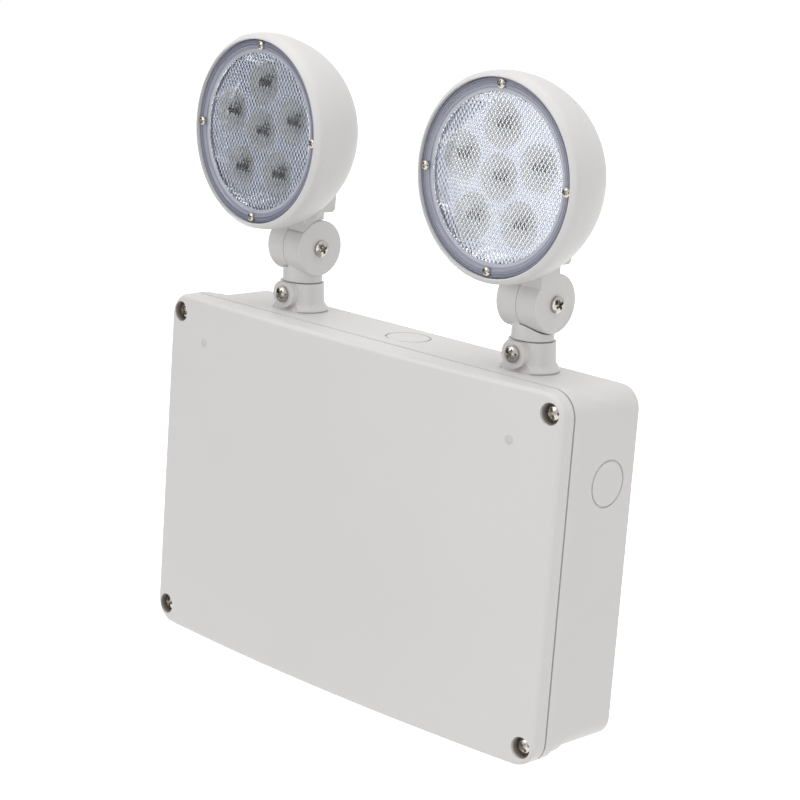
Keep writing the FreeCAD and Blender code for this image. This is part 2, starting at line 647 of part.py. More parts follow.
def fixed(shape, side):
    """Set a part that stays with the box on its knuckle."""
    moved = shape.copy()
    moved.translate(V(side * KNUCKLE_X, KNUCKLE_Y, 0))
    return moved


def nodes():
    parts = {
        "back_box": back_box(),
        "front_cover": front_cover(),
        "cover_gasket": cover_gasket(),
        "cover_screws": cover_screws(),
        "battery_pack": battery_pack(),
        "battery_clamp": battery_clamp(),
        "clamp_screws": clamp_screws(),
        "control_board": control_board(),
        "board_screws": board_screws(),
        "transformer": transformer(),
        "terminal_block": terminal_block(),
        "test_bezel": test_bezel(),
        "bezel_nut": bezel_nut(),
        "test_button": test_button(),
        "test_switch": test_switch(),
        "charge_indicator": charge_indicator(),
    }
    for name, side in (("left", -1), ("right", 1)):
        hand = -side            # the neck's disc is the inner one of each knuckle
        parts[name + "_collar"] = fixed(swivel_collar(), side)
        parts[name + "_collar_nut"] = fixed(collar_nut(), side)
        parts[name + "_lock_screw"] = fixed(lock_screw(), side)
        parts[name + "_neck"] = placed(swivel_neck(hand), side)
        parts[name + "_pivot_screw"] = placed(pivot_screw(), side)
        parts[name + "_pivot_nut"] = placed(pivot_nut(), side)
        parts[name + "_lamp_shell"] = placed(lamp_shell(hand), side)
        parts[name + "_lens"] = placed(lens(), side)
        parts[name + "_lens_screws"] = placed(lens_screws(), side)
        parts[name + "_reflector"] = placed(reflector(), side)
        parts[name + "_led_board"] = placed(led_board(), side)
        parts[name + "_leds"] = placed(leds(), side)
    return parts


os.makedirs("parts", exist_ok=True)
for node_name, node_shape in nodes().items():
    if not node_shape.isValid() or node_shape.Volume <= 0:
        raise RuntimeError("bad solid: " + node_name)
    node_shape.exportStep("parts/" + node_name + ".step")
    print("%-20s %8.2f cm3  %d solid(s)" % (node_name, node_shape.Volume / 1000, len(node_shape.Solids)))
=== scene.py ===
import json
import math

import bmesh
import bpy
from bpy.props import (
    FloatProperty, FloatVectorProperty, IntProperty, PointerProperty, StringProperty)
from mathutils import Matrix, Vector
from mathutils.bvhtree import BVHTree


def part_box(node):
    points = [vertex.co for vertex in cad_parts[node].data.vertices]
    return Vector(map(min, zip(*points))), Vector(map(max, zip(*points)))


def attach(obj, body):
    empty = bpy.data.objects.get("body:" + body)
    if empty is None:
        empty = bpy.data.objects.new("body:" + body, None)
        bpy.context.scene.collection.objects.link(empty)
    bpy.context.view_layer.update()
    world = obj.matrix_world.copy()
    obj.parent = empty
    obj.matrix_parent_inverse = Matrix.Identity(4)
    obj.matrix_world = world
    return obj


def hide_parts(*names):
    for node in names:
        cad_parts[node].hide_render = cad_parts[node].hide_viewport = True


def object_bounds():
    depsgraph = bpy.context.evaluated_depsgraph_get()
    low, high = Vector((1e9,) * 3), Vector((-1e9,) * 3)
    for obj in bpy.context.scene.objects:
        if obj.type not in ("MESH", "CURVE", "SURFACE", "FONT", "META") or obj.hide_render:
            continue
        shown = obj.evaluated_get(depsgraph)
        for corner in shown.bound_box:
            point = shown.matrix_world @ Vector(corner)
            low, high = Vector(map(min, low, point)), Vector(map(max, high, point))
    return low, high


bl_info = {
    "name": "Twin-head exit light",
    "version": (1, 0, 0),
    "blender": (4, 5, 0),
    "location": "3D View > Sidebar > Exit light",
    "description": "Finishes and fine forms for a wall-mounted emergency light with two lamp heads",
    "category": "Object",
}

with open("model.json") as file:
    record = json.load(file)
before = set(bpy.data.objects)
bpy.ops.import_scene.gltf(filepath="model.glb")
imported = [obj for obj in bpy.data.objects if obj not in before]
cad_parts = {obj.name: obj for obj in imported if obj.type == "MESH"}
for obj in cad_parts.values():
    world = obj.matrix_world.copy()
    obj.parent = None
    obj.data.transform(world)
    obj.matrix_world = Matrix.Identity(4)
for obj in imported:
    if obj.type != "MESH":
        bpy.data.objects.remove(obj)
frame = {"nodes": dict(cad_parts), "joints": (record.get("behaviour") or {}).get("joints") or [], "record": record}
CAD_LOW, CAD_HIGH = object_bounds()
MM = 0.001
SIDES = ("left", "right")
# the way that the cover and the lenses face
FORWARD = Vector((0, -1, 0))
# the middle of the unit, which the lamps and the cards are turned to
MIDDLE = Vector((0, 0, 0.06))
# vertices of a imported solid's triangles that are closer than this are one, in metres
WELD = 2e-6


# ---------------------------------------------------------------- small helpers

def linear(text):
    """Linear colour with full alpha from an sRGB hex value."""
    value = [int(text[i:i + 2], 16) / 255 for i in (1, 3, 5)]
    return [c / 12.92 if c <= 0.04045 else ((c + 0.055) / 1.055) ** 2.4 for c in value] + [1.0]


def add_node(tree, kind, inputs=None, **settings):
    """One node with its settings; inputs maps a socket's name or number to a value or a socket."""
    made = tree.nodes.new(kind)
    for name, value in settings.items():
        setattr(made, name, value)
    for key, value in (inputs or {}).items():
        if isinstance(value, bpy.types.NodeSocket):
            tree.links.new(value, made.inputs[key])
        else:
            made.inputs[key].default_value = value
    return made


def new_material(name):
    """A material with an empty node tree."""
    made = bpy.data.materials.new(name)
    made.use_nodes = True
    made.node_tree.nodes.clear()
    return made


def dress(obj, made):
    """Gives an object one material over all its faces."""
    obj.data.materials.clear()
    obj.data.materials.append(made)
    for face in obj.data.polygons:
        face.material_index = 0


def mesh_of(bm, name):
    """A mesh from a bmesh, which is freed."""
    mesh = bpy.data.meshes.new(name)
    bm.to_mesh(mesh)
    bm.free()
    return mesh


def linked(name, data):
    """A new object that holds the data, in the scene."""
    obj = bpy.data.objects.new(name, data)
    bpy.context.scene.collection.objects.link(obj)
    return obj


def finish_piece(bm, name, made, body, nodes=(), angle=30.0):
    """Turns a bmesh into a smooth-shaded piece that rides on a body and stands for CAD nodes."""
    bmesh.ops.remove_doubles(bm, verts=bm.verts, dist=1e-7)
    bmesh.ops.recalc_face_normals(bm, faces=bm.faces)
    return place_piece(mesh_of(bm, name), name, made, body, nodes, angle)


def place_piece(mesh, name, made, body, nodes=(), angle=30.0):
    """A finished mesh as a piece; its own shading or materials stay where angle or made is None."""
    mesh.name = name
    obj = linked(name, mesh)
    if angle:
        mesh.shade_smooth()
        mesh.set_sharp_from_angle(angle=math.radians(angle))
    if made is not None:
        dress(obj, made)
    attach(obj, body)
    if nodes:
        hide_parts(*nodes)
    return obj


def lamp_frame(side):
    """A lamp head's frame, on its lens axis above the pivot: X along the tilt axis, Y into the bowl."""
    found = next(j for j in frame["joints"] if j["name"] == side + "_tilt")
    across = Vector(found["axis"]).normalized()
    up = Vector((0, 0, 1))
    into = up.cross(across)
    low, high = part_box(side + "_led_board")
    origin = Vector(found["pos_m"])
    origin.z = (low.z + high.z) / 2
    turn = Matrix((across, into, up)).transposed().to_4x4()
    return Matrix.Translation(origin) @ turn


def lathe(bm, profile, steps, matrix):
    """Closed surface from (radius, depth) points in millimetres, turned about the local Y axis."""
    rings = []
    for radius, depth in profile:
        ring = []
        for i in range(steps if radius > 0 else 1):
            a = 2 * math.pi * i / steps
            place = Vector((radius * MM * math.sin(a), depth * MM, radius * MM * math.cos(a)))
            ring.append(bm.verts.new(matrix @ place))
        rings.append(ring)
    pairs = list(zip(rings, rings[1:]))
    if profile[0][0] > 0:
        pairs.append((rings[-1], rings[0]))
    for one, two in pairs:
        for i in range(steps):
            k = (i + 1) % steps
            if len(one) == 1:
                bm.faces.new((one[0], two[i], two[k]))
            elif len(two) == 1:
                bm.faces.new((one[i], one[k], two[0]))
            else:
                bm.faces.new((one[i], one[k], two[k], two[i]))


def rounded(points, steps=4):
    """Profile whose corners (r, y, radius) are replaced by arcs of that radius."""
    out = []
    count = len(points)
    for i, (x, y, radius) in enumerate(points):
        if radius <= 0 or i in (0, count - 1):
            out.append((x, y))
            continue
        here = Vector((x, y))
        back = (Vector(points[i - 1][:2]) - here).normalized()
        ahead = (Vector(points[i + 1][:2]) - here).normalized()
        half = back.angle(ahead) / 2
        reach = radius / math.tan(half)
        start, end = here + back * reach, here + ahead * reach
        centre = here + (back + ahead).normalized() * (radius / math.sin(half))
        for k in range(steps + 1):
            t = k / steps
            spoke = (start - centre).lerp(end - centre, t).normalized() * radius
            out.append(tuple(centre + spoke))
    return out


def merged_copy(node):
    """The CAD node's mesh as a bmesh with its loose triangles joined and its flat faces whole again."""
    bm = bmesh.new()
    bm.from_mesh(frame["nodes"][node].data)
    bmesh.ops.remove_doubles(bm, verts=bm.verts, dist=WELD)
    bmesh.ops.dissolve_limit(bm, angle_limit=math.radians(0.6), verts=bm.verts, edges=bm.edges)
    return bm


def moulded(node, made, body, width, name):
    """A CAD node's form with the small moulded radius that its edges have, in millimetres."""
    mesh = mesh_of(merged_copy(node), name)
    mesh.shade_smooth()
    obj = linked(name, mesh)
    bevel = obj.modifiers.new("edges", "BEVEL")
    bevel.width = width * MM
    bevel.segments = 2
    bevel.limit_method = "ANGLE"
    bevel.angle_limit = math.radians(35)
    # the large faces keep their own normals, so that they shade flat beside the radius
    flat = obj.modifiers.new("flat faces", "WEIGHTED_NORMAL")
    flat.mode = "FACE_AREA"
    flat.weight = 100
    return place_piece(applied(obj), name, made, body, [node], None)


def applied(obj):
    """The object's mesh with its modifiers applied; the object itself is removed."""
    graph = bpy.context.evaluated_depsgraph_get()
    mesh = bpy.data.meshes.new_from_object(obj.evaluated_get(graph), preserve_all_data_layers=True,
                                           depsgraph=graph)
    bpy.data.objects.remove(obj)
    return mesh


# ---------------------------------------------------------------- finishes

def white_housing():
    """Moulded PC/ABS with a fine spark-eroded grain: soft satin, almost no sharp reflections."""
    made = new_material("white_pc_abs_moulded")
    tree = made.node_tree
    looks = bpy.context.scene.exit_light_finish
    place = add_node(tree, "ShaderNodeTexCoord").outputs["Object"]
    # clouding of the pigment over about 60 mm
    cloud = add_node(tree, "ShaderNodeTexNoise", {"Vector": place, "Scale": 1000 / 60, "Detail": 2.0})
    tone = add_node(tree, "ShaderNodeMix", {
        "Factor": cloud.outputs["Fac"], "A": linear(looks.white), "B": linear(looks.pale)},
        data_type="RGBA")
    # eroded grain, 0.4 mm on the real surface and drawn at 0.8 mm so that it shows
    grain = add_node(tree, "ShaderNodeTexNoise", {
        "Vector": place, "Scale": 1000 / looks.grain, "Detail": 3.0})
    bump = add_node(tree, "ShaderNodeBump", {
        "Height": grain.outputs["Fac"], "Strength": 0.12, "Distance": 0.0001})
    # the gloss varies a little over about 9 mm
    gloss = add_node(tree, "ShaderNodeTexNoise", {"Vector": place, "Scale": 1000 / 9, "Detail": 1.0})
    rough = add_node(tree, "ShaderNodeMapRange", {
        "Value": gloss.outputs["Fac"], "To Min": looks.satin - 0.04, "To Max": looks.satin + 0.04})
    shader = add_node(tree, "ShaderNodeBsdfPrincipled", {
        "Base Color": tone.outputs[2], "Roughness": rough.outputs["Result"], "IOR": 1.53,
        "Normal": bump.outputs["Normal"]})
    add_node(tree, "ShaderNodeOutputMaterial", {"Surface": shader.outputs["BSDF"]})
    return made


def plain_plastic(name, low, high, roughness, patch):
    """Moulded plastic or rubber: two close tones in patches of a given size in millimetres."""
    made = new_material(name)
    tree = made.node_tree
    place = add_node(tree, "ShaderNodeTexCoord").outputs["Object"]
    cloud = add_node(tree, "ShaderNodeTexNoise", {
        "Vector": place, "Scale": 1000 / patch, "Detail": 3.0})
    tone = add_node(tree, "ShaderNodeMix", {
        "Factor": cloud.outputs["Fac"], "A": linear(low), "B": linear(high)}, data_type="RGBA")
    bump = add_node(tree, "ShaderNodeBump", {
        "Height": cloud.outputs["Fac"], "Strength": 0.1, "Distance": 0.0002})
    shader = add_node(tree, "ShaderNodeBsdfPrincipled", {
        "Base Color": tone.outputs[2], "Roughness": roughness, "IOR": 1.5,
        "Normal": bump.outputs["Normal"]})
    add_node(tree, "ShaderNodeOutputMaterial", {"Surface": shader.outputs["BSDF"]})
    return made


def plated_metal(name, colour, roughness, patch):
    """Plated or rolled metal: mirror-like under a thin haze that varies over a few millimetres."""
    made = new_material(name)
    tree = made.node_tree
    place = add_node(tree, "ShaderNodeTexCoord").outputs["Object"]
    haze = add_node(tree, "ShaderNodeTexNoise", {
        "Vector": place, "Scale": 1000 / patch, "Detail": 2.0})
    rough = add_node(tree, "ShaderNodeMapRange", {
        "Value": haze.outputs["Fac"], "To Min": roughness * 0.7, "To Max": roughness * 1.3})
    shader = add_node(tree, "ShaderNodeBsdfPrincipled", {
        "Base Color": linear(colour), "Metallic": 1.0, "Roughness": rough.outputs["Result"]})
    add_node(tree, "ShaderNodeOutputMaterial", {"Surface": shader.outputs["BSDF"]})
    return made


def clear_plastic(name, colour, roughness, patch):
    """Clear moulded plastic: hard gloss, with flow waves of a given size in millimetres."""
    made = new_material(name)
    tree = made.node_tree
    place = add_node(tree, "ShaderNodeTexCoord").outputs["Object"]
    flow = add_node(tree, "ShaderNodeTexNoise", {
        "Vector": place, "Scale": 1000 / patch, "Detail": 1.0})
    bump = add_node(tree, "ShaderNodeBump", {
        "Height": flow.outputs["Fac"], "Strength": 0.05, "Distance": 0.0003})
    shader = add_node(tree, "ShaderNodeBsdfPrincipled", {
        "Base Color": linear(colour), "Roughness": roughness, "IOR": 1.58,
        "Transmission Weight": 1.0, "Normal": bump.outputs["Normal"]})
    add_node(tree, "ShaderNodeOutputMaterial", {"Surface": shader.outputs["BSDF"]})
    return made


def ring_with_painted_bands():
    """Clear polycarbonate ring seen edge on: a cool tint, with its steps drawn as painted light and shade, lighter
    bands between darker lines.
    """
    made = new_material("polycarbonate_ring_painted_bands")
    tree = made.node_tree
    # 0 at the ring's inner edge and 1 at its outer one
    band = add_node(tree, "ShaderNodeAttribute", attribute_name="band", attribute_type="GEOMETRY")
    ramp = add_node(tree, "ShaderNodeValToRGB", {"Fac": band.outputs["Fac"]})
    # painted light and shade: darker lines where the steps bend light away or lie in shade, lighter bands between
    # them
    stops = [
        (0.0, "#CDCFD9"), (0.20, "#CDCFD9"), (0.30, "#8C8FA2"), (0.38, "#B2B4C4"), (0.52, "#A4A6B7"),
        (0.62, "#75798E"), (0.70, "#A5A8B9"), (0.84, "#9C9FB1"), (0.92, "#70748A"), (1.0, "#8A8EA1")]
    # a new ramp has two stops of its own
    for place, tone in stops[:-2]:
        ramp.color_ramp.elements.new(place)
    for element, (place, tone) in zip(ramp.color_ramp.elements, stops):
        element.position = place
        element.color = linear(tone)
    # flow waves of the moulding, about 12 mm long
    place = add_node(tree, "ShaderNodeTexCoord").outputs["Object"]
    flow = add_node(tree, "ShaderNodeTexNoise", {"Vector": place, "Scale": 1000 / 12, "Detail": 1.0})
    bump = add_node(tree, "ShaderNodeBump", {
        "Height": flow.outputs["Fac"], "Strength": 0.03, "Distance": 0.0002})
    shader = add_node(tree, "ShaderNodeBsdfPrincipled", {
        "Base Color": ramp.outputs["Color"], "Roughness": 0.12, "IOR": 1.58,
        "Transmission Weight": 0.2, "Normal": bump.outputs["Normal"]})
    add_node(tree, "ShaderNodeOutputMaterial", {"Surface": shader.outputs["BSDF"]})
    return made


def material(name):
    """A finish that was made earlier."""
    return bpy.data.materials[name]


# ---------------------------------------------------------------- values a user would change
# lengths are in millimetres

class ExitLightFinish(bpy.types.PropertyGroup):
    white: StringProperty(name="White", description="Deeper tone of the white plastic", default="#DAD8D7")
    pale: StringProperty(name="Pale", description="Paler tone of the white plastic", default="#DEDCDB")
    grain: FloatProperty(name="Grain", description="Size of the moulded grain", default=0.8, min=0.1)
    satin: FloatProperty(
        name="Satin", description="Roughness of the white plastic", default=0.42, min=0.0, max=1.0)
    edge: FloatProperty(name="Edge radius", description="Radius on the white mouldings", default=0.35)
    fine_edge: FloatProperty(
        name="Button edge", description="Radius on the button and its bezel", default=0.3)
    cup_edge: FloatProperty(name="Cup edge", description="Radius on the reflector's edges", default=0.2)
    screw: StringProperty(name="Screw finish", description="Colour of the nickel plate", default="#B2AEA7")


class ExitLightLamp(bpy.types.PropertyGroup):
    turns: IntProperty(name="Steps round", description="Facets round a lamp bowl", default=128, min=32)
    bowl_steps: IntProperty(
        name="Bowl steps", description="Facets from the belly to the back", default=24, min=8)
    wall: FloatProperty(name="Wall", description="Wall of the bowl", default=2.4)
    rim_depth: FloatProperty(
        name="Rim depth", description="From the rim to the bowl's widest place", default=5.7)
    bead_step: FloatProperty(
        name="Bead step", description="Rim's front edge inside the bowl's widest place", default=2.5)
    lens_room: FloatProperty(name="Lens room", description="Gap round the lens in its pocket", default=0.3)
    ledge: FloatProperty(name="Ledge", description="Width of the ledge that the lens is on", default=2.2)
    window: FloatProperty(name="Window", description="Radius of the prism window", default=37.2)
    set_back: FloatProperty(name="Set-back", description="Window behind the lens face", default=1.2)
    plate: FloatProperty(name="Plate", description="Thickness under the prisms", default=1.0)
    prism: FloatProperty(name="Prism width", description="Width of one diamond prism", default=2.25)
    prism_length: FloatProperty(name="Prism length", description="Height of one diamond", default=3.5)
    prism_height: FloatProperty(name="Prism depth", description="Depth of one prism", default=0.5)
    package: FloatProperty(name="LED package", description="Width of one LED package", default=7.4)
    package_shape: FloatProperty(
        name="Package shape", description="Height of a package over its width", default=0.42)
    package_depth: FloatProperty(name="Package depth", description="Depth of one package", default=1.0)
    dome: FloatProperty(name="LED dome", description="Radius of the dome on a package", default=1.4)
    dome_height: FloatProperty(name="Dome height", description="Height of that dome", default=0.4)
    stand: FloatProperty(name="LED stand", description="Height of a package over its board", default=6.0)
    flange: FloatProperty(name="Flange", description="Thickness of the reflector's flange", default=0.8)


class ExitLightScrew(bpy.types.PropertyGroup):
    recess_width: FloatProperty(name="Slot width", description="Slot width over head radius", default=0.36)
    recess_span: FloatProperty(name="Slot span", description="Slot length over head radius", default=1.25)
    recess_depth: FloatProperty(name="Slot depth", description="Slot depth over head height", default=0.75)
    first_turn: FloatProperty(
        name="First turn", description="Turn of the first cross", subtype="ANGLE", default=0.2)
    next_turn: FloatProperty(
        name="Next turn", description="Turn from one cross to the next", subtype="ANGLE", default=1.1)
    # the sleeve in each of the cover's screw recesses is grey-brown painted shade
    shade_sleeve_radius: FloatProperty(name="Seal radius", description="Outside of the rubber sleeve", default=4.95)
    shade_sleeve_wall: FloatProperty(name="Seal wall", description="Thickness of the sleeve", default=0.4)
    shade_sleeve_rise: FloatProperty(
        name="Seal rise", description="Sleeve's front edge ahead of the screw's head", default=0.8)


class ExitLightStage(bpy.types.PropertyGroup):
    azimuth: FloatProperty(
        name="Azimuth", description="Camera direction round the unit, in degrees", default=43.07)
    elevation: FloatProperty(
        name="Elevation", description="Camera height above the horizon, in degrees", default=13.19)
    roll: FloatProperty(name="Roll", description="Camera roll, in degrees", default=4.18)
    lens: FloatProperty(name="Lens", description="Focal length", default=104.87)
    place: FloatVectorProperty(
        name="Camera place", description="Camera position", unit="LENGTH",
        default=(0.7342, -0.8065, 0.3043))
    key: FloatProperty(name="Key lamp", description="Power of the front lamp", unit="POWER", default=7.0)
    top: FloatProperty(
        name="Top lamp", description="Power of the lamp overhead", unit="POWER", default=15.0)
    fill: FloatProperty(
        name="Side lamp", description="Power of the lamp on the right", unit="POWER", default=4.6)
    ambient: FloatProperty(name="Ambient", description="Strength of the even light", default=0.58)
# ---------------------------------------------------------------- operators

class EXITLIGHT_OT_finishes(bpy.types.Operator):
    """Makes every finish and gives each CAD node its own"""
    bl_idname = "exit_light.finishes"
    bl_label = "Finishes"

    def execute(self, context):
        looks = context.scene.exit_light_finish
        by_slot = {
            # moulded PC/ABS: soft satin white
            "white_plastic": white_housing(),
            # moulded EPDM cord: dull and near black
            "black_rubber": plain_plastic("epdm_seal_moulded", "#2A2A2B", "#333334", 0.75, 3.0),
            # nickel-plated steel: bright with a slightly warm tone
            "screw_steel": plated_metal("nickel_plated_steel", looks.screw, 0.16, 1.5),
            # PVC film shrunk over the cells: glossy deep blue
            "battery_wrap": plain_plastic("pvc_shrink_sleeve", "#1E3F8A", "#24499A", 0.28, 14.0),
            # zinc-plated sheet: pale grey, half bright, cloudy
            "zinc_sheet": plated_metal("zinc_plated_sheet", "#BFC3C6", 0.34, 6.0),
            # solder mask on glass epoxy: even deep green, half gloss
            "board_green": plain_plastic("solder_mask_green", "#135A30", "#1A6A39", 0.4, 5.0),
            # white solder mask: nearly matt
            "board_white": plain_plastic("solder_mask_white", "#E4E5E4", "#EEEEEC", 0.5, 5.0),
            # stack of stamped steel sheets: dull dark grey
            "core_steel": plated_metal("laminated_core_steel", "#6E6F72", 0.5, 2.0),
            # moulded polyamide: mid grey, half dull
            "terminal_grey": plain_plastic("polyamide_grey", "#8A8E8C", "#949896", 0.5, 4.0),
            # moulded polyamide: near black with a slight sheen
            "black_plastic": plain_plastic("polyamide_black", "#1B1B1C", "#242425", 0.45, 3.0),
            # moulded ABS: strong red with a soft gloss
            "red_plastic": plain_plastic("abs_red_moulded", "#A51C1A", "#B32220", 0.35, 4.0),
            # tinted acrylic: clear green, glossy
            "indicator_lens": clear_plastic("acrylic_green_tint", "#7FD08A", 0.08, 2.0),
            # moulded polycarbonate seen edge on: a cool tint, with painted light and shade for its steps
            "clear_lens": ring_with_painted_bands(),
            # moulded plate under a vacuum-deposited aluminium film: bright, a little hazy and cool
            "silver_reflector": plated_metal("vacuum_metallised_reflector", "#CDD0DA", 0.3, 8.0),
            # silicone with unlit phosphor in it, darkened to dull olive: painted shade for its place deep behind
            # the prisms
            "led_yellow": plain_plastic("led_phosphor_painted_shade", "#4E4E38", "#5A5A40", 0.3, 1.0),
        }
        # moulded polycarbonate: clear with a faint cool cast, so that only the prisms' slopes show
        clear_plastic("polycarbonate_prisms", "#F2F4F8", 0.03, 12.0)
        # sleeves in the cover's screw recesses: grey-brown painted shade, standing in for the shade down the deep
        # recesses
        plain_plastic("screw_recess_painted_shade", "#7A726B", "#867E77", 0.5, 2.0)
        # PC/ABS where the cover's moulding gate was trimmed: a small duller spot
        plain_plastic("trimmed_gate_mark", "#CCCAC8", "#D0CECC", 0.6, 2.0)
        # painted light: a near-white matt copy of the reflector's film for the cups' walls, so that the cups look
        # white instead of shaded by their depth
        plain_plastic("cup_film_painted_light", "#FAFAF9", "#FFFFFF", 0.25, 6.0)
        # a near-black package round each chip: painted shade for the LEDs deep inside the lamp; dull with a faint
        # green cast
        plain_plastic("led_package_painted_shade", "#141817", "#1D2321", 0.4, 2.0)
        for part in frame["record"]["subparts"]:
            dress(frame["nodes"][part["node"]], by_slot[part["material_slot"]])
        return {"FINISHED"}


class EXITLIGHT_OT_stage(bpy.types.Operator):
    """Makes the camera, the lamps, the floor and the pale surroundings"""
    bl_idname = "exit_light.stage"
    bl_label = "Stage"

    def execute(self, context):
        stage = context.scene.exit_light_stage
        self.camera(context, stage)
        lamps = (
            ("key_lamp", (-0.8, -1.6, 0.8), 1.2, stage.key),
            ("top_lamp", (0.1, -0.1, 1.7), 2.2, stage.top),
            ("side_lamp", (1.6, -0.85, 0.4), 1.6, stage.fill),
        )
        for name, place, size, power in lamps:
            self.lamp(name, Vector(place), size, power)
        felt = new_material("black_card")
        paint = add_node(felt.node_tree, "ShaderNodeBsdfDiffuse", {"Color": linear("#3C3D42")})
        add_node(felt.node_tree, "ShaderNodeOutputMaterial", {"Surface": paint.outputs[0]})
        cards = (
            ((-1.46, -0.65, 0.0), 1.0), ((-0.62, -0.7, -0.36), 0.4), ((1.6, 0.3, 0.35), 0.9),
            ((0.6, -1.7, -0.3), 0.9),
        )
        for number, (place, size) in enumerate(cards):
            self.card("dark_card_%d" % number, Vector(place), size, felt)
        self.floor()
        self.world(context, stage.ambient)
        context.scene.view_settings.view_transform = "Standard"
        return {"FINISHED"}

    def camera(self, context, stage):
        az, el, roll = (math.radians(a) for a in (stage.azimuth, stage.elevation, stage.roll))
        back = Vector((math.sin(az) * math.cos(el), -math.cos(az) * math.cos(el), math.sin(el)))
        level = (-back).cross(Vector((0, 0, 1))).normalized()
        upright = level.cross(-back)
        right = level * math.cos(roll) + upright * math.sin(roll)
        up = upright * math.cos(roll) - level * math.sin(roll)
        camera = linked("camera", bpy.data.cameras.new("camera"))
        camera.data.lens = stage.lens
        camera.data.sensor_width = 36.0
        turn = Matrix((right, up, back)).transposed().to_4x4()
        camera.matrix_world = Matrix.Translation(stage.place) @ turn
        context.scene.camera = camera

    def lamp(self, name, place, size, power):
        """A round lamp that faces the unit."""
        lamp = linked(name, bpy.data.lights.new(name, "AREA"))
        lamp.data.shape = "DISK"
        lamp.data.size = size
        lamp.data.energy = power
        lamp.location = place
        lamp.rotation_euler = (MIDDLE - place).to_track_quat("-Z", "Y").to_euler()

    def card(self, name, place, size, felt):
        """A dark card that only reflections show, as it gives bright metal its contrast."""
        bm = bmesh.new()
        bmesh.ops.create_grid(bm, x_segments=1, y_segments=1, size=size / 2)
        turn = (MIDDLE - place).to_track_quat("Z", "Y").to_matrix().to_4x4()
        bmesh.ops.transform(bm, verts=bm.verts, matrix=Matrix.Translation(place) @ turn)
        card = linked(name, mesh_of(bm, name))
        card.data.materials.append(felt)
        card.visible_camera = card.visible_diffuse = card.visible_shadow = False

    def floor(self):
        """White paper under the unit, which keeps its shadow."""
        drop = 0.35
        bm = bmesh.new()
        bmesh.ops.create_grid(bm, x_segments=1, y_segments=1, size=6.0)
        bmesh.ops.translate(bm, verts=bm.verts, vec=(0, 0, CAD_LOW.z - drop))
        floor = linked("floor", mesh_of(bm, "floor"))
        made = new_material("floor_paper")
        tree = made.node_tree
        seen = self.seen(tree)
        paper = add_node(tree, "ShaderNodeBsdfDiffuse", {"Color": linear("#E8E8E8")})
        lift = add_node(tree, "ShaderNodeEmission", {"Color": (1, 1, 1, 1), "Strength": seen})
        both = add_node(tree, "ShaderNodeAddShader", {0: paper.outputs[0], 1: lift.outputs[0]})
        add_node(tree, "ShaderNodeOutputMaterial", {"Surface": both.outputs[0]})
        floor.data.materials.append(made)

    def seen(self, tree):
        """1 for camera, glossy and transmission rays, otherwise 0."""
        rays = add_node(tree, "ShaderNodeLightPath").outputs
        first = add_node(tree, "ShaderNodeMath", {
            0: rays["Is Camera Ray"], 1: rays["Is Glossy Ray"]}, operation="MAXIMUM")
        both = add_node(tree, "ShaderNodeMath", {
            0: first.outputs[0], 1: rays["Is Transmission Ray"]}, operation="MAXIMUM")
        return both.outputs[0]

    def world(self, context, ambient):
        """White to the eye and in reflections, and dimmer as a light."""
        world = bpy.data.worlds.new("pale_room")
        context.scene.world = world
        world.use_nodes = True
        tree = world.node_tree
        tree.nodes.clear()
        level = add_node(tree, "ShaderNodeMapRange", {
            "Value": self.seen(tree), "To Min": ambient, "To Max": 1.0})
        sky = add_node(tree, "ShaderNodeBackground", {
            "Color": (1, 1, 1, 1), "Strength": level.outputs["Result"]})
        add_node(tree, "ShaderNodeOutputWorld", {"Surface": sky.outputs[0]})


class EXITLIGHT_OT_housing(bpy.types.Operator):
    """Makes the box, its cover and the knuckles with their moulded edge radii"""
    bl_idname = "exit_light.housing"
    bl_label = "Housing"

    def execute(self, context):
        looks = context.scene.exit_light_finish
        white = material("white_pc_abs_moulded")
        mouldings = [
            ("back_box", "housing", "box_moulding"), ("front_cover", "housing", "cover_moulding")]
        for side in SIDES:
            mouldings.append((side + "_collar", "housing", side + "_collar_moulding"))
            mouldings.append((side + "_neck", side + "_swivel_body", side + "_neck_moulding"))
        for node, body, name in mouldings:
            moulded(node, white, body, looks.edge, name)
        moulded("test_bezel", material("polyamide_black"), "housing", looks.fine_edge,
                "test_bezel_moulding")
        moulded("test_button", material("abs_red_moulded"), "button", looks.fine_edge,
                "test_button_moulding")
        self.gate_marks()
        self.shade_sleeves(context.scene.exit_light_screw)
        return {"FINISHED"}

    def gate_marks(self):
        """Two small duller spots on the cover, one near each upper corner."""
        radius, proud, sunk = 2.3, 0.05, 0.4
        cover = merged_copy("front_cover")
        surface = BVHTree.FromBMesh(cover)
        cover.free()
        bm = bmesh.new()
        for x, z in ((-0.1, 0.064), (0.1, 0.0605)):
            place, normal = surface.ray_cast(Vector((x, -0.2, z)), -FORWARD)[:2]
            stand = Matrix.Translation(place) @ normal.to_track_quat("-Y", "Z").to_matrix().to_4x4()
            lathe(bm, [(0.0, -proud), (radius - 0.1, -proud), (radius, 0.0), (radius, sunk), (0.0, sunk)],
                  32, stand)
        finish_piece(bm, "cover_gate_marks", material("trimmed_gate_mark"), "housing")

    def shade_sleeves(self, sizes):
        """Grey-brown sleeves that line the cover's screw recesses: painted shade for the shade down them."""
        bm = bmesh.new()
        for places in separate_solids("cover_screws"):
            seat, _, height, _, _ = screw_seat(places, FORWARD)
            front, back = (seat.y - height) / MM - sizes.shade_sleeve_rise, seat.y / MM - 0.05
            outer, inner = sizes.shade_sleeve_radius, sizes.shade_sleeve_radius - sizes.shade_sleeve_wall
            lathe(bm, [(inner, front + sizes.shade_sleeve_wall), (outer, front), (outer, back), (inner, back)],
                  48, Matrix.Translation((seat.x, 0, seat.z)))
        finish_piece(bm, "cover_screw_shade_sleeves", material("screw_recess_painted_shade"), "housing")


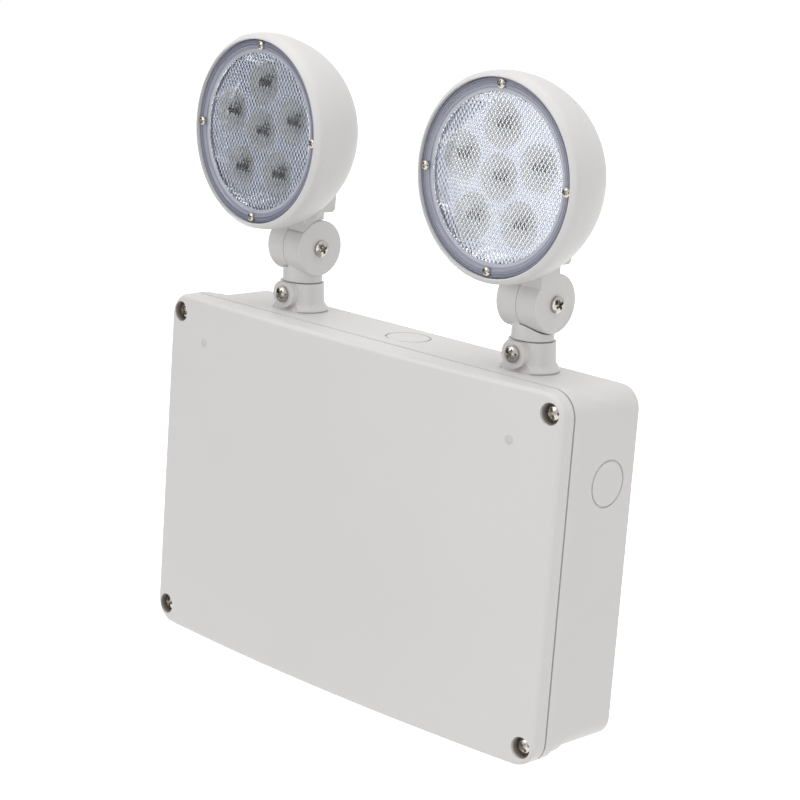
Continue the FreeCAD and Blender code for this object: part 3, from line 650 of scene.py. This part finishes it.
class EXITLIGHT_OT_lamps(bpy.types.Operator):
    """Makes the two lamp bowls with their rolled rims"""
    bl_idname = "exit_light.lamps"
    bl_label = "Lamp bowls"

    def execute(self, context):
        sizes = context.scene.exit_light_lamp
        for side in SIDES:
            self.join(self.bowl(side, sizes), side)
        return {"FINISHED"}

    def bowl(self, side, sizes):
        """The smooth bowl with its rolled rim and the pocket for the lens."""
        _, lens = local_box(side, side + "_lens")
        low, high = local_box(side, side + "_lamp_shell")
        wide, front, back, wall = high.x, low.y, high.y, sizes.wall
        belly = front + sizes.rim_depth
        pocket, ledge, bead = lens.x + sizes.lens_room, lens.x - sizes.ledge, wide - sizes.bead_step
        inside = rounded([
            (ledge, belly + 4, 0.0), (ledge, lens.y, 0.0), (pocket, lens.y, 0.0), (pocket, front, 0.3),
            (bead, front, 0.5), (wide - sizes.bead_step / 2, front + 1.2, 0.4),
            (wide - 0.55, front + 2.0, 0.7)])
        arc = [math.pi / 2 * i / sizes.bowl_steps for i in range(sizes.bowl_steps + 1)]
        outside = [(wide * math.cos(a), belly + (back - belly) * math.sin(a)) for a in arc]
        hollow = [((wide - wall) * math.cos(a), belly + (back - wall - belly) * math.sin(a))
                  for a in reversed(arc)]
        bm = bmesh.new()
        lathe(bm, [(0.0, hollow[0][1])] + hollow[1:-1] + inside + outside[:-1] + [(0.0, back)],
              sizes.turns, lamp_frame(side))
        bmesh.ops.recalc_face_normals(bm, faces=bm.faces)
        return bm

    def join(self, bowl, side):
        """Unites the smooth bowl with the lug of the moulding."""
        name = side + "_lamp_moulding"
        bowl_mesh = mesh_of(bowl, name + "_bowl")
        obj = linked(name, mesh_of(merged_copy(side + "_lamp_shell"), name))
        other = linked(name + "_bowl", bowl_mesh)
        cut = obj.modifiers.new("bowl", "BOOLEAN")
        cut.operation = "UNION"
        cut.solver = "EXACT"
        cut.object = other
        done = applied(obj)
        bpy.data.objects.remove(other)
        place_piece(done, name, material("white_pc_abs_moulded"), side + "_lamp",
                    [side + "_lamp_shell"], 28.0)


def local_box(side, node):
    """Lowest and highest corner of a CAD node along the lamp's own axes, in millimetres."""
    back = lamp_frame(side).inverted()
    places = [back @ v.co / MM for v in frame["nodes"][node].data.vertices]
    low = Vector([min(p[i] for p in places) for i in range(3)])
    high = Vector([max(p[i] for p in places) for i in range(3)])
    return low, high


def separate_solids(node):
    """Vertex places of each separate solid of a CAD node, in the order of the node's mesh."""
    bm = bmesh.new()
    bm.from_mesh(frame["nodes"][node].data)
    bmesh.ops.remove_doubles(bm, verts=bm.verts, dist=WELD)
    found = []
    reached = set()
    for first in bm.verts:
        if first in reached:
            continue
        reached.add(first)
        group, places = [first], []
        while group:
            vert = group.pop()
            places.append(vert.co.copy())
            for edge in vert.link_edges:
                other = edge.other_vert(vert)
                if other not in reached:
                    reached.add(other)
                    group.append(other)
        found.append(places)
    bm.free()
    return found


def screw_seat(places, outward):
    """Where a screw's head sits, and its head radius, head height, shank radius and shank length."""
    side = outward.orthogonal().normalized()
    other = outward.cross(side)
    mid = [(min(p.dot(a) for p in places) + max(p.dot(a) for p in places)) / 2 for a in (side, other)]
    across = [math.hypot(p.dot(side) - mid[0], p.dot(other) - mid[1]) for p in places]
    along = [p.dot(outward) for p in places]
    radius = max(across)
    seat = min(t for t, r in zip(along, across) if r > radius * 0.95)
    shank = max(r for t, r in zip(along, across) if t < seat - 0.1 * MM)
    point = side * mid[0] + other * mid[1] + outward * seat
    return point, radius, max(along) - seat, shank, seat - min(along)


def new_tree(name, lengths, materials, counts=()):
    """A tree that takes geometry, lengths, counts and materials and gives geometry; and its inputs."""
    tree = bpy.data.node_groups.new(name, "GeometryNodeTree")
    face = tree.interface
    face.new_socket("Geometry", in_out="INPUT", socket_type="NodeSocketGeometry")
    for length in lengths:
        face.new_socket(length, in_out="INPUT", socket_type="NodeSocketFloat").subtype = "DISTANCE"
    for count in counts:
        face.new_socket(count, in_out="INPUT", socket_type="NodeSocketInt")
    for finish in materials:
        face.new_socket(finish, in_out="INPUT", socket_type="NodeSocketMaterial")
    face.new_socket("Geometry", in_out="OUTPUT", socket_type="NodeSocketGeometry")
    return tree, add_node(tree, "NodeGroupInput").outputs


def screw_tree():
    """Pan-head screws with a cross recess, one on each point, along the point's axis."""
    tree, given = new_tree("pan_head_screws", (
        "Head Radius", "Head Height", "Shank Radius", "Shank Length", "Recess Width", "Recess Span",
        "Recess Depth"), ("Material",))
    # each worked-out size as a share of a given one
    parts = {
        "dome radius": ("Head Radius", 1.16),
        "pan length": ("Head Height", 2.4),
        "pan middle": ("Head Height", 1.2),
        "slot depth": ("Recess Depth", 2.0),
        "pit depth": ("Recess Depth", 1.3),
        "pit middle": ("Recess Depth", -1.25),
        "shank middle": ("Shank Length", -0.5),
    }
    size = {}
    for name, (source, share) in parts.items():
        product = add_node(tree, "ShaderNodeMath", {0: given[source], 1: share}, operation="MULTIPLY")
        size[name] = product.outputs[0]
    # domed pan: a flattened ball trimmed to the head's radius
    flattened = add_node(tree, "ShaderNodeCombineXYZ", {
        "X": size["dome radius"], "Y": size["dome radius"], "Z": given["Head Height"]})
    ball = add_node(tree, "GeometryNodeMeshUVSphere", {"Segments": 40, "Rings": 24, "Radius": 1.0})
    dome = add_node(tree, "GeometryNodeTransform", {
        "Geometry": ball.outputs["Mesh"], "Scale": flattened.outputs[0]})
    body = add_node(tree, "GeometryNodeMeshCylinder", {
        "Vertices": 48, "Radius": given["Head Radius"], "Depth": size["pan length"]})
    lift = add_node(tree, "ShaderNodeCombineXYZ", {"Z": size["pan middle"]})
    raised = add_node(tree, "GeometryNodeTransform", {
        "Geometry": body.outputs["Mesh"], "Translation": lift.outputs[0]})
    head = add_node(tree, "GeometryNodeMeshBoolean", operation="INTERSECT", solver="EXACT")
    for piece in (dome, raised):
        tree.links.new(piece.outputs[0], head.inputs["Mesh 2"])
    # cross recess: two slots and a small cone where they meet
    top = add_node(tree, "ShaderNodeCombineXYZ", {"Z": given["Head Height"]})
    cutters = []
    for x, y in (("Recess Span", "Recess Width"), ("Recess Width", "Recess Span")):
        slot_size = add_node(tree, "ShaderNodeCombineXYZ", {
            "X": given[x], "Y": given[y], "Z": size["slot depth"]})
        slot = add_node(tree, "GeometryNodeMeshCube", {"Size": slot_size.outputs[0]})
        cutters.append(add_node(tree, "GeometryNodeTransform", {
            "Geometry": slot.outputs["Mesh"], "Translation": top.outputs[0]}))
    pit = add_node(tree, "GeometryNodeMeshCone", {
        "Vertices": 24, "Radius Top": given["Recess Width"], "Radius Bottom": 0.05 * MM,
        "Depth": size["pit depth"]})
    low = add_node(tree, "ShaderNodeMath", {
        0: given["Head Height"], 1: size["pit middle"]}, operation="ADD")
    drop = add_node(tree, "ShaderNodeCombineXYZ", {"Z": low.outputs[0]})
    cutters.append(add_node(tree, "GeometryNodeTransform", {
        "Geometry": pit.outputs["Mesh"], "Translation": drop.outputs[0]}))
    cut = add_node(tree, "GeometryNodeMeshBoolean", {"Mesh 1": head.outputs["Mesh"]},
                   operation="DIFFERENCE", solver="EXACT")
    for piece in cutters:
        tree.links.new(piece.outputs[0], cut.inputs["Mesh 2"])
    shank = add_node(tree, "GeometryNodeMeshCylinder", {
        "Vertices": 24, "Radius": given["Shank Radius"], "Depth": given["Shank Length"]})
    under = add_node(tree, "ShaderNodeCombineXYZ", {"Z": size["shank middle"]})
    lowered = add_node(tree, "GeometryNodeTransform", {
        "Geometry": shank.outputs["Mesh"], "Translation": under.outputs[0]})
    whole = add_node(tree, "GeometryNodeMeshBoolean", operation="UNION", solver="EXACT")
    for piece in (cut, lowered):
        tree.links.new(piece.outputs[0], whole.inputs["Mesh 2"])
    # each screw stands along its point's axis and is turned about it
    axis = add_node(tree, "GeometryNodeInputNamedAttribute", {"Name": "axis"}, data_type="FLOAT_VECTOR")
    turn = add_node(tree, "GeometryNodeInputNamedAttribute", {"Name": "turn"}, data_type="FLOAT")
    spun = add_node(tree, "FunctionNodeAxisAngleToRotation", {
        "Axis": (0, 0, 1), "Angle": turn.outputs["Attribute"]})
    aimed = add_node(tree, "FunctionNodeAlignRotationToVector", {
        "Vector": axis.outputs["Attribute"]}, axis="Z")
    both = add_node(tree, "FunctionNodeRotateRotation", {0: aimed.outputs[0], 1: spun.outputs[0]},
                    rotation_space="LOCAL")
    placed = add_node(tree, "GeometryNodeInstanceOnPoints", {
        "Points": given["Geometry"], "Instance": whole.outputs["Mesh"], "Rotation": both.outputs[0]})
    real = add_node(tree, "GeometryNodeRealizeInstances", {"Geometry": placed.outputs[0]})
    finish = add_node(tree, "GeometryNodeSetMaterial", {
        "Geometry": real.outputs[0], "Material": given["Material"]})
    add_node(tree, "NodeGroupOutput", {"Geometry": finish.outputs[0]})
    return tree


def from_tree(obj, tree, values):
    """Runs a node tree on an object with its named inputs set, and returns the plain mesh."""
    modifier = obj.modifiers.new(tree.name, "NODES")
    modifier.node_group = tree
    for item in tree.interface.items_tree:
        if item.in_out == "INPUT" and item.name in values:
            modifier[item.identifier] = values[item.name]
    return applied(obj)


class EXITLIGHT_OT_screws(bpy.types.Operator):
    """Makes every visible screw with its domed head and cross recess"""
    bl_idname = "exit_light.screws"
    bl_label = "Screws"

    def execute(self, context):
        sizes = context.scene.exit_light_screw
        steel = material("nickel_plated_steel")
        tree = screw_tree()
        sets = [("cover_screws", "housing", FORWARD)]
        for side in SIDES:
            turn = lamp_frame(side).to_3x3()
            sets.append((side + "_lens_screws", side + "_lamp", turn @ FORWARD))
            sets.append((side + "_lock_screw", "housing", FORWARD))
            sets.append((side + "_pivot_screw", side + "_swivel_body", turn @ Vector((1, 0, 0))))
        for number, (node, body, outward) in enumerate(sets):
            seats = [screw_seat(places, outward) for places in separate_solids(node)]
            mesh = bpy.data.meshes.new(node + "_points")
            mesh.from_pydata([seat[0] for seat in seats], [], [])
            mesh.attributes.new("axis", "FLOAT_VECTOR", "POINT")
            mesh.attributes.new("turn", "FLOAT", "POINT")
            for i in range(len(seats)):
                mesh.attributes["axis"].data[i].vector = outward
                mesh.attributes["turn"].data[i].value = sizes.first_turn + sizes.next_turn * (i + number)
            _, radius, height, shank, length = seats[0]
            done = from_tree(linked(node + "_points", mesh), tree, {
                "Head Radius": radius, "Head Height": height, "Shank Radius": shank,
                "Shank Length": length, "Recess Width": radius * sizes.recess_width,
                "Recess Span": radius * sizes.recess_span, "Recess Depth": height * sizes.recess_depth,
                "Material": steel})
            place_piece(done, node + "_cross_head", steel, body, [node], 35.0)
        return {"FINISHED"}


def prism_tree():
    """Clear disc whose inner face is covered with diamond-shaped prisms."""
    tree, given = new_tree("diamond_prism_disc", (
        "Radius", "Thickness", "Prism Width", "Prism Length", "Prism Height"), ("Material",), ("Count",))
    # a grid of squares with a diagonal of 1, turned by 45 degrees and stretched into diamonds
    side = add_node(tree, "ShaderNodeMath", {0: given["Count"], 1: math.sqrt(0.5)}, operation="MULTIPLY")
    more = add_node(tree, "ShaderNodeMath", {0: given["Count"], 1: 1.0}, operation="ADD")
    grid = add_node(tree, "GeometryNodeMeshGrid", {
        "Size X": side.outputs[0], "Size Y": side.outputs[0], "Vertices X": more.outputs[0],
        "Vertices Y": more.outputs[0]})
    turned = add_node(tree, "GeometryNodeTransform", {
        "Geometry": grid.outputs["Mesh"], "Rotation": (0.0, 0.0, math.pi / 4)})
    stretch = add_node(tree, "ShaderNodeCombineXYZ", {
        "X": given["Prism Width"], "Y": given["Prism Length"], "Z": 1.0})
    diamonds = add_node(tree, "GeometryNodeTransform", {
        "Geometry": turned.outputs[0], "Scale": stretch.outputs[0]})
    # the plate, and on it each square drawn up to a point
    walls = add_node(tree, "GeometryNodeExtrudeMesh", {
        "Mesh": diamonds.outputs[0], "Offset": (0.0, 0.0, 1.0), "Offset Scale": given["Thickness"],
        "Individual": False}, mode="FACES")
    tips = add_node(tree, "GeometryNodeExtrudeMesh", {
        "Mesh": walls.outputs["Mesh"], "Selection": walls.outputs["Top"], "Offset": (0.0, 0.0, 1.0),
        "Offset Scale": given["Prism Height"], "Individual": True}, mode="FACES")
    points = add_node(tree, "GeometryNodeScaleElements", {
        "Geometry": tips.outputs["Mesh"], "Selection": tips.outputs["Top"], "Scale": 0.0},
        domain="FACE")
    bottom = add_node(tree, "GeometryNodeFlipFaces", {"Mesh": diamonds.outputs[0]})
    shut = add_node(tree, "GeometryNodeJoinGeometry")
    for piece in (points, bottom):
        tree.links.new(piece.outputs[0], shut.inputs[0])
    welded = add_node(tree, "GeometryNodeMergeByDistance", {
        "Geometry": shut.outputs[0], "Distance": 0.01 * MM})
    round_bar = add_node(tree, "GeometryNodeMeshCylinder", {
        "Vertices": 128, "Radius": given["Radius"], "Depth": 50 * MM})
    disc = add_node(tree, "GeometryNodeMeshBoolean", operation="INTERSECT", solver="EXACT")
    for piece in (welded, round_bar):
        tree.links.new(piece.outputs[0], disc.inputs["Mesh 2"])
    finish = add_node(tree, "GeometryNodeSetMaterial", {
        "Geometry": disc.outputs["Mesh"], "Material": given["Material"]})
    add_node(tree, "NodeGroupOutput", {"Geometry": finish.outputs[0]})
    return tree


def led_tree():
    """LED packages, one on each point: a block with a low dome that faces Z, on a square stand."""
    tree, given = new_tree("led_packages", (
        "Package Width", "Package Length", "Package Height", "Stand", "Dome Radius", "Dome Height"), (
        "Package Material", "Dome Material"))
    both = add_node(tree, "GeometryNodeJoinGeometry")
    # the package stands on the point's plane, and its stand reaches down from it
    blocks = (("Package Width", "Package Length", "Package Height", 0.5),
              ("Package Length", "Package Length", "Stand", -0.5))
    for wide, long, high, share in blocks:
        size = add_node(tree, "ShaderNodeCombineXYZ", {
            "X": given[wide], "Y": given[long], "Z": given[high]})
        middle = add_node(tree, "ShaderNodeMath", {0: given[high], 1: share}, operation="MULTIPLY")
        place = add_node(tree, "ShaderNodeCombineXYZ", {"Z": middle.outputs[0]})
        block = add_node(tree, "GeometryNodeMeshCube", {"Size": size.outputs[0]})
        placed = add_node(tree, "GeometryNodeTransform", {
            "Geometry": block.outputs["Mesh"], "Translation": place.outputs[0]})
        tree.links.new(placed.outputs[0], both.inputs[0])
    ball = add_node(tree, "GeometryNodeMeshUVSphere", {"Segments": 24, "Rings": 12, "Radius": 1.0})
    scale = add_node(tree, "ShaderNodeCombineXYZ", {
        "X": given["Dome Radius"], "Y": given["Dome Radius"], "Z": given["Dome Height"]})
    top = add_node(tree, "ShaderNodeCombineXYZ", {"Z": given["Package Height"]})
    dome = add_node(tree, "GeometryNodeTransform", {
        "Geometry": ball.outputs["Mesh"], "Scale": scale.outputs[0], "Translation": top.outputs[0]})
    marked = add_node(tree, "GeometryNodeStoreNamedAttribute", {
        "Geometry": dome.outputs[0], "Name": "dome", "Value": True}, data_type="BOOLEAN", domain="FACE")
    tree.links.new(marked.outputs[0], both.inputs[0])
    placed = add_node(tree, "GeometryNodeInstanceOnPoints", {
        "Points": given["Geometry"], "Instance": both.outputs[0]})
    real = add_node(tree, "GeometryNodeRealizeInstances", {"Geometry": placed.outputs[0]})
    package = add_node(tree, "GeometryNodeSetMaterial", {
        "Geometry": real.outputs[0], "Material": given["Package Material"]})
    domes = add_node(tree, "GeometryNodeInputNamedAttribute", {"Name": "dome"}, data_type="BOOLEAN")
    finish = add_node(tree, "GeometryNodeSetMaterial", {
        "Geometry": package.outputs[0], "Selection": domes.outputs["Attribute"],
        "Material": given["Dome Material"]})
    add_node(tree, "NodeGroupOutput", {"Geometry": finish.outputs[0]})
    return tree


class EXITLIGHT_OT_leds(bpy.types.Operator):
    """Makes the LED packages behind each lens"""
    bl_idname = "exit_light.leds"
    bl_label = "LEDs"

    def execute(self, context):
        sizes = context.scene.exit_light_lamp
        tree = led_tree()
        for side in SIDES:
            board = local_box(side, side + "_leds")[1].y
            inward = lamp_frame(side).inverted()
            places = []
            for solid in separate_solids(side + "_leds"):
                near = [inward @ p for p in solid]
                x, z = ((min(p[i] for p in near) + max(p[i] for p in near)) / 2 for i in (0, 2))
                places.append((x, z, 0.0))
            mesh = bpy.data.meshes.new(side + "_led_points")
            mesh.from_pydata(places, [], [])
            done = from_tree(linked(side + "_led_points", mesh), tree, {
                "Package Width": sizes.package * MM,
                "Package Length": sizes.package * sizes.package_shape * MM,
                "Package Height": sizes.package_depth * MM, "Stand": sizes.stand * MM,
                "Dome Radius": sizes.dome * MM, "Dome Height": sizes.dome_height * MM,
                "Package Material": material("led_package_painted_shade"),
                "Dome Material": material("led_phosphor_painted_shade")})
            depth = (board - sizes.stand) * MM
            face = Matrix.Translation((0, depth, 0)) @ Matrix.Rotation(math.pi / 2, 4, "X")
            done.transform(lamp_frame(side) @ face)
            place_piece(done, side + "_led_packages", None, side + "_lamp", [side + "_leds"])
        return {"FINISHED"}


class EXITLIGHT_OT_lenses(bpy.types.Operator):
    """Makes each lens, its stepped ring and its prism window, and the reflector behind it"""
    bl_idname = "exit_light.lenses"
    bl_label = "Lenses"

    def execute(self, context):
        sizes = context.scene.exit_light_lamp
        tree = prism_tree()
        for side in SIDES:
            low, high = local_box(side, side + "_lens")
            self.ring(side, sizes, high.x, low.y, high.y)
            self.prisms(side, sizes, tree, low.y)
            self.reflector(side, sizes, high.x, context.scene.exit_light_finish.cup_edge)
        return {"FINISHED"}

    def ring(self, side, sizes, radius, front, back):
        """The lens's frame: steps down to the window, and a groove near the outer edge."""
        edge = sizes.window
        window, step, groove = front + sizes.set_back, front + 0.7, front + 0.55
        steps = rounded([
            (edge, back + 0.5, 0.0), (edge, window, 0.15), (edge + 1.3, window, 0.2),
            (edge + 1.9, step, 0.15), (edge + 2.9, step, 0.15), (edge + 3.2, front, 0.12),
            (radius - 1.7, front, 0.12), (radius - 1.45, groove, 0.1), (radius - 1.05, groove, 0.1),
            (radius - 0.8, front, 0.12), (radius, front, 0.35), (radius, back, 0.0)], 3)
        bm = bmesh.new()
        lathe(bm, steps, sizes.turns, lamp_frame(side))
        made = finish_piece(bm, side + "_lens_ring", material("polycarbonate_ring_painted_bands"), side + "_lamp",
                            [side + "_lens"], 24.0)
        # how far across the ring each point is, which the finish draws its painted bands of light and shade by
        made.data.attributes.new("band", "FLOAT", "POINT")
        inward = lamp_frame(side).inverted()
        for vert, band in zip(made.data.vertices, made.data.attributes["band"].data):
            place = inward @ vert.co / MM
            band.value = (math.hypot(place.x, place.z) - edge) / (radius - edge)

    def prisms(self, side, sizes, tree, front):
        """The window in the ring, with its prisms on the inside."""
        # squares of the turned grid along a millimetre of its side
        across = math.hypot(1 / sizes.prism, 1 / sizes.prism_length)
        window = material("polycarbonate_prisms")
        mesh = bpy.data.meshes.new(side + "_prisms")
        done = from_tree(linked(side + "_prisms", mesh), tree, {
            "Radius": (sizes.window - 0.05) * MM, "Thickness": sizes.plate * MM,
            "Prism Width": sizes.prism * MM, "Prism Length": sizes.prism_length * MM,
            "Prism Height": sizes.prism_height * MM, "Count": int(2 * sizes.window * across) + 4,
            "Material": window})
        depth = (front + sizes.set_back) * MM
        stand = Matrix.Translation((0, depth, 0)) @ Matrix.Rotation(-math.pi / 2, 4, "X")
        done.transform(lamp_frame(side) @ stand)
        place_piece(done, side + "_prism_window", window, side + "_lamp",
                    [side + "_lens"], 1.0)

    def reflector(self, side, sizes, radius, edge):
        """The plate with its cups, and the flange that closes the gap round it."""
        film = material("vacuum_metallised_reflector")
        node, body = side + "_reflector", side + "_lamp"
        cups = moulded(node, film, body, edge, node + "_cups")
        cups.data.materials.append(material("cup_film_painted_light"))
        # the cups' walls slope between the plate's face and its sides; they take the near-white copy of the film,
        # which is painted light
        aim = lamp_frame(side).to_3x3() @ FORWARD
        for face in cups.data.polygons:
            face.material_index = 1 if 0.05 < face.normal.dot(aim) < 0.97 else 0
        low, high = local_box(side, node)
        inner, outer, back = high.x - 0.2, radius - 2.3, low.y + sizes.flange
        bm = bmesh.new()
        lathe(bm, [(inner, low.y), (outer, low.y), (outer, back), (inner, back)], sizes.turns,
              lamp_frame(side))
        finish_piece(bm, node + "_flange", film, body, [node])


class EXITLIGHT_PT_panel(bpy.types.Panel):
    """Lists the values and the operators"""
    bl_label = "Exit light"
    bl_idname = "EXITLIGHT_PT_panel"
    bl_space_type = "VIEW_3D"
    bl_region_type = "UI"
    bl_category = "Exit light"

    def draw(self, context):
        scene = context.scene
        self.layout.label(text="Lengths are in millimetres")
        for group, place in GROUPS:
            box = self.layout.box()
            for name in group.__annotations__:
                box.prop(getattr(scene, place), name)
        for kind in OPERATORS:
            self.layout.operator(kind.bl_idname)


GROUPS = (
    (ExitLightFinish, "exit_light_finish"),
    (ExitLightLamp, "exit_light_lamp"),
    (ExitLightScrew, "exit_light_screw"),
    (ExitLightStage, "exit_light_stage"),
)
OPERATORS = (
    EXITLIGHT_OT_finishes, EXITLIGHT_OT_stage, EXITLIGHT_OT_housing, EXITLIGHT_OT_lamps,
    EXITLIGHT_OT_screws, EXITLIGHT_OT_leds, EXITLIGHT_OT_lenses,
)


def register():
    for group, name in GROUPS:
        bpy.utils.register_class(group)
        setattr(bpy.types.Scene, name, PointerProperty(type=group))
    for kind in OPERATORS + (EXITLIGHT_PT_panel,):
        bpy.utils.register_class(kind)


def unregister():
    for kind in reversed(OPERATORS + (EXITLIGHT_PT_panel,)):
        bpy.utils.unregister_class(kind)
    for group, name in reversed(GROUPS):
        delattr(bpy.types.Scene, name)
        bpy.utils.unregister_class(group)


def main():
    register()
    for kind in OPERATORS:
        area, name = kind.bl_idname.split(".")
        getattr(getattr(bpy.ops, area), name)()


if __name__ == "__main__":
    main()
